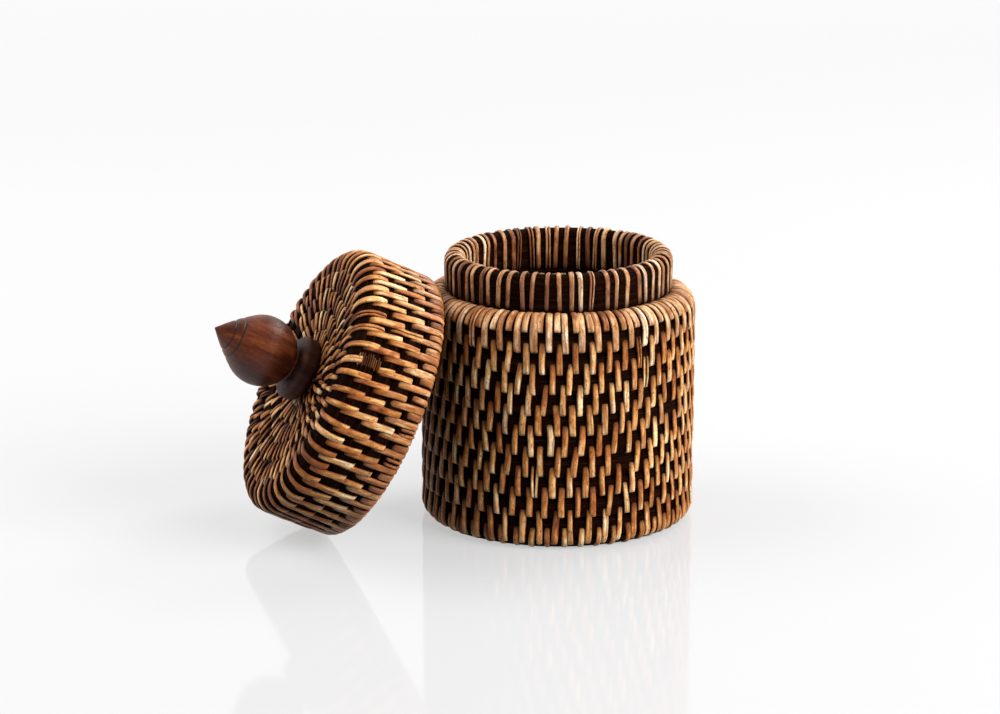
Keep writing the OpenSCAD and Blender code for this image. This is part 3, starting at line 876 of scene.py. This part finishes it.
def lid_coils():
    """The rim, the turns of the skirt up to the crown's edge, and the turns of the crown."""
    weave = Weave()
    middle = LID_R - SKIRT_T / 2
    half = COIL_T / 2
    rim = [(middle + half, ROW_H)] + [(middle - half, ROW_H)] + arc(middle, SKIN + 0.1 + half, half, 180, 360)
    bundle(weave, rim, seed=61)
    weave.piece("lid_rim_bundle", core, "lid", ["lid_rim_hoop"], place=lid_to_row)
    weave = Weave()
    for k in (1, 2):
        bundle(weave, pressed(middle, ROW_H * (k + 0.5), half - 0.1, ROW_H / 2 + 0.25), seed=61 + k)
    bend = CROWN_ROUND - SKIN - 0.15
    edge = [(crown_flat, LID_H - CROWN_T - 1), (middle - half, ROW_H * 3), (middle + half - 0.1, ROW_H * 3)]
    bundle(weave, edge + arc(crown_flat, LID_H - CROWN_ROUND, bend, 0, 90), seed=64)
    weave.piece("lid_skirt_bundles", core, "lid", ["lid_skirt_coil"], place=lid_to_row)
    weave = Weave()
    tall = CROWN_T / 2 - SKIN
    for k in range(CROWN_ROWS):
        r = crown_flat - ROW_H * (k + 0.5)
        section = pressed(r, crown_top(r) - CROWN_T / 2, ROW_H / 2 + 0.2, tall)
        bundle(weave, section, seed=70 + k, turns=200 - 30 * k)
    bundle(weave, pressed(STEM_R + 1.6, crown_top(5) - CROWN_T / 2, 1.5, tall), seed=76, turns=40)
    weave.piece("lid_crown_bundles", core, "lid", ["lid_crown_coil"], place=lid_to_row)


# ---------------------------------------------------------------- turned pieces

TURNED_STEPS = 96


def turned(name, outline, material, node, cuts=()):
    """A solid of revolution about the knob's axis. outline is a list of (radius, height above the peg).

    cuts gives the height of each cut line and its reach to either side.
    """
    weave = Weave()
    outline = np.array(outline, float)
    turn = np.linspace(0, 2 * np.pi, TURNED_STEPS, endpoint=False)
    radius = outline[:, 0][:, None]
    height = np.broadcast_to(outline[:, 1][:, None], (len(outline), len(turn)))
    points = np.stack([radius * np.cos(turn), radius * np.sin(turn), height], -1)
    look = np.zeros(points.shape[:2] + (4,))
    for place, reach in cuts:
        near = np.exp(-(((outline[:, 1] - place) / reach) ** 2))
        look[..., 1] = np.maximum(look[..., 1], near[:, None])
    weave.grid(points, points + 40, look, close_v=True, caps=True)
    weave.piece(name, material, "lid", [node], place=knob_to_row)


def knob_piece():
    """Stem, waist, ball and pointed tip, with two cut lines near the tip."""
    middle = COLLAR_Z - PEG_Z
    seat = middle + COLLAR_T / 2
    centre = middle + BALL_Z
    point = centre + TIP_Z
    lean = math.asin(BALL_R / (TIP_Z + 1.0))
    outline = [(0.6, -3.9), (STEM_R - 0.5, -4.0), (STEM_R, -3.5), (STEM_R, seat - 0.05)]
    outline += [(BALL_R * 0.52, seat + 0.05), (BALL_R * 0.47, seat + 0.7)]
    outline += arc(0, centre, BALL_R, -62, math.degrees(lean), 60)
    cone_r, cone_z = BALL_R * math.cos(lean), centre + BALL_R * math.sin(lean)
    marks = [(TIP_Z * part - (cone_z - centre)) / (point - cone_z) for part in CUT_LINES]
    cone = []
    for t in np.linspace(0, 1, 60)[1:]:
        bulge = 0.55 * math.sin(math.pi * t)
        r = cone_r * (1 - t) + 0.5 * t + bulge
        for mark in marks:
            r -= CUT_DEPTH * math.exp(-(((t - mark) / CUT_WIDTH) ** 2))
        cone.append((max(r, 0.35), cone_z + (point - 0.3 - cone_z) * t))
    outline += cone + [(0.1, point)]
    cuts = [(cone_z + (point - cone_z) * mark, CUT_REACH) for mark in marks]
    turned("knob_turned", outline, knob_wood, "knob", cuts=cuts)


def collar_piece():
    """The round-edged disc under the ball, bored for the stem."""
    low = COLLAR_Z - PEG_Z - COLLAR_T / 2
    top = low + COLLAR_T
    bore, edge = STEM_R + 0.05, 2.6
    outline = [(bore, top), (bore, low), (COLLAR_R - edge, low)]
    outline += arc(COLLAR_R - edge, low + edge, edge, -90, 0, 12)
    outline += arc(COLLAR_R - edge, top - edge, edge, 0, 90, 12)
    outline += [(COLLAR_R * 0.6, top), (bore, top)]
    turned("knob_collar_turned", outline, collar_wood, "knob_collar")


def peg_piece():
    """The cross peg through the stem, with its ends bevelled."""
    weave = Weave()
    turn = np.linspace(0, 2 * np.pi, 24, endpoint=False)
    half = PEG_LEN / 2
    rings = [(-half, 0.8 * PEG_R), (0.4 - half, PEG_R)]
    rings += [(y, PEG_R) for y in np.linspace(1 - half, half - 1, 12)]
    rings += [(half - 0.4, PEG_R), (half, 0.8 * PEG_R)]
    points = np.array([[(r * math.cos(a), y, r * math.sin(a)) for a in turn] for y, r in rings])
    grain = points[..., [0, 2, 1]] + 80
    weave.grid(points, grain, (0, 0, 0, 0), close_v=True, caps=True)
    weave.piece("knob_peg_whittled", peg_wood, "peg", ["knob_peg"], place=knob_to_row, flip=True)


# ---------------------------------------------------------------- stage


def floor():
    """Glossy white table that fills the view, with a little light of its own like a lit acrylic sheet.

    It throws no light back on the basket, whose shaded side is dark in the photograph.
    """
    half = 12.0
    mesh = bpy.data.meshes.new("table")
    corners = [(-half, -half, 0), (half, -half, 0), (half, half, 0), (-half, half, 0)]
    mesh.from_pydata(corners, [], [(0, 1, 2, 3)])
    obj = bpy.data.objects.new("table", mesh)
    bpy.context.scene.collection.objects.link(obj)
    sh = Shader("white table")
    sh.base.inputs["Base Color"].default_value = (0.2, 0.2, 0.203, 1)
    sh.base.inputs["Emission Color"].default_value = (1, 1, 1, 1)
    sh.base.inputs["Emission Strength"].default_value = 0.49
    sh.base.inputs["Roughness"].default_value = 0.07
    sh.base.inputs["Specular IOR Level"].default_value = 0.125
    mesh.materials.append(sh.material)
    obj.visible_diffuse = False


def area_light(name, place, target, size, power, mirrored=False):
    """A soft box at a place in metres. Only a mirrored one shows in glossy surfaces."""
    data = bpy.data.lights.new(name, "AREA")
    data.shape = "RECTANGLE"
    data.size, data.size_y = size
    data.energy = power
    obj = bpy.data.objects.new(name, data)
    obj.location = place
    obj.rotation_mode = "QUATERNION"
    obj.rotation_quaternion = (Vector(target) - Vector(place)).to_track_quat("-Z", "Y")
    obj.visible_glossy = mirrored
    bpy.context.scene.collection.objects.link(obj)


def surroundings():
    """A dim room with a white backdrop behind the table, which the table mirrors."""
    world = bpy.data.worlds.new("studio")
    world.use_nodes = True
    tree = world.node_tree
    place = tree.nodes.new("ShaderNodeTexCoord")
    axes = tree.nodes.new("ShaderNodeSeparateXYZ")
    tree.links.new(place.outputs["Generated"], axes.inputs[0])
    ramp = tree.nodes.new("ShaderNodeMapRange")
    ramp.interpolation_type = "SMOOTHSTEP"
    for socket, value in zip(ramp.inputs[1:5], (0.35, 0.8, 0.17, 0.97)):
        socket.default_value = value
    tree.links.new(axes.outputs[1], ramp.inputs[0])
    tree.links.new(ramp.outputs[0], tree.nodes["Background"].inputs[1])
    tree.nodes["Background"].inputs[0].default_value = (1, 1, 1, 1)
    bpy.context.scene.world = world


def lights():
    """The room, a key light at the front right, a small light high at the right and a fill at the left."""
    surroundings()
    middle, beside_lid = (0, 0, 0.06), (-0.05, 0, 0.06)
    area_light("key", (0.98, -1.1, 0.85), middle, (1.2, 1.2), 60)
    area_light("top light", (0.84, 0.41, 1.1), middle, (0.5, 0.5), 9, mirrored=True)
    area_light("fill", (-0.97, 0.33, 0.92), beside_lid, (1.2, 1.2), 22)


def camera():
    """Long lens in front and above, swung round towards the lid's side and looking a little down."""
    turned_by, pitch = math.radians(15.9), 0.2572
    data = bpy.data.cameras.new("camera")
    data.sensor_width = 36.0
    data.lens = 99.1
    obj = bpy.data.objects.new("camera", data)
    obj.location = Vector((-346.8, -1124.2, 379.4)) * MM
    obj.rotation_euler = (math.pi / 2 - pitch, 0, -turned_by)
    bpy.context.scene.collection.objects.link(obj)
    bpy.context.scene.camera = obj


camera()
lights()
floor()
wall_coils()
shoulder_coils()
neck_bundle()
base_coils()
lid_coils()
wall_stitches()
shoulder_strips()
neck_strips()
inside_stitches()
lid_stitches()
lid_rim_wraps()
lid_inside_stitches()
knob_piece()
collar_piece()
peg_piece()
bpy.context.scene.view_settings.view_transform = "Standard"
